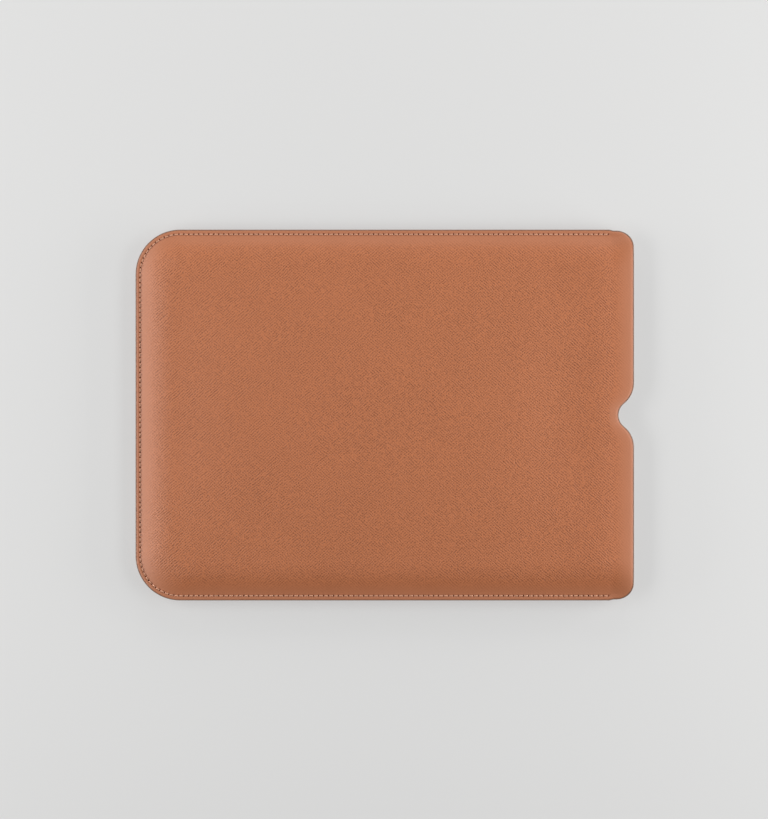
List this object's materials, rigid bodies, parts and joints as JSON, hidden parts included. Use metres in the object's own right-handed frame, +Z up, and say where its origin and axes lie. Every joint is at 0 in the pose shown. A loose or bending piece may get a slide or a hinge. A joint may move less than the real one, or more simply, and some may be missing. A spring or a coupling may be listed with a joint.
{
  "type": "laptop sleeve",
  "caption": "Slim padded leather laptop sleeve, sewn on three sides, with an open short side and a thumb notch cut through both panels.",
  "frame": {"origin": "centre of the bounding box's base, on the back panel's flat face that the sleeve lies on", "axes": "+X from the closed end to the open mouth, +Y along the mouth from one sewn side to the other, +Z up from the back panel to the front panel"},
  "size_m": [0.333, 0.248, 0.0175],
  "materials": {
    "front_leather": "tan corrected-grain leather, cross-hatch embossed, satin",
    "back_leather": "tan corrected-grain leather, cross-hatch embossed, satin",
    "foam": "thin closed-cell padding foam, matt",
    "lining": "brown microfibre, napped, matt",
    "thread": "light tan bonded polyester sewing thread",
    "edge_paint": "grey-brown acrylic edge paint, satin"
  },
  "bodies": {
    "root": {"front_leather_panel": "front_leather", "back_leather_panel": "back_leather", "front_foam_pad": "foam", "back_foam_pad": "foam", "front_lining": "lining", "back_lining": "lining", "needle_thread": "thread", "bobbin_thread": "thread", "seam_edge_coat": "edge_paint", "front_mouth_edge_coat": "edge_paint", "back_mouth_edge_coat": "edge_paint"}
  },
  "joints": []
}
